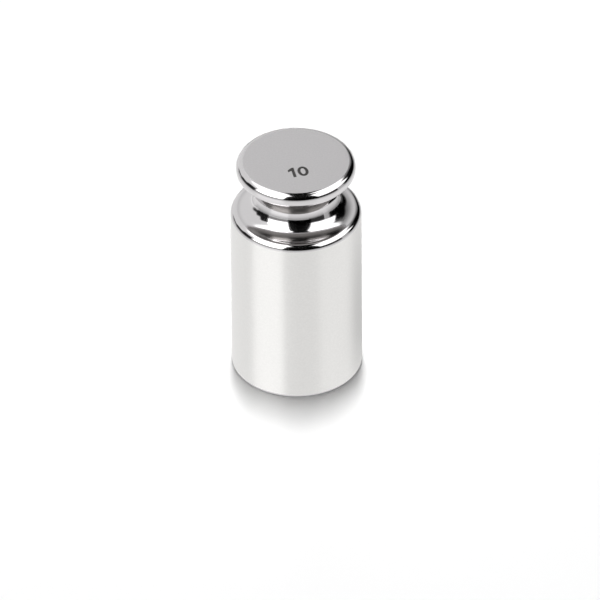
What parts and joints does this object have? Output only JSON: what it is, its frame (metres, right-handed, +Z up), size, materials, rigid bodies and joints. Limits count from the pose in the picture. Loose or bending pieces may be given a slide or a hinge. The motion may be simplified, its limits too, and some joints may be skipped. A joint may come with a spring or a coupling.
{
  "type": "calibration weight",
  "caption": "Round steel test weight with a flat disc knob on a grooved neck and a plain cylindrical body, turned in one piece.",
  "frame": {"origin": "centre of the base that the weight stands on", "axes": "+Z up along the axis of rotation, from the base to the knob"},
  "size_m": [0.0098, 0.0098, 0.0186],
  "materials": {
    "stainless_steel": "mirror-polished rim, neck groove and edges; fine satin body wall and end face"
  },
  "bodies": {
    "root": {"weight": "stainless_steel"}
  },
  "joints": []
}
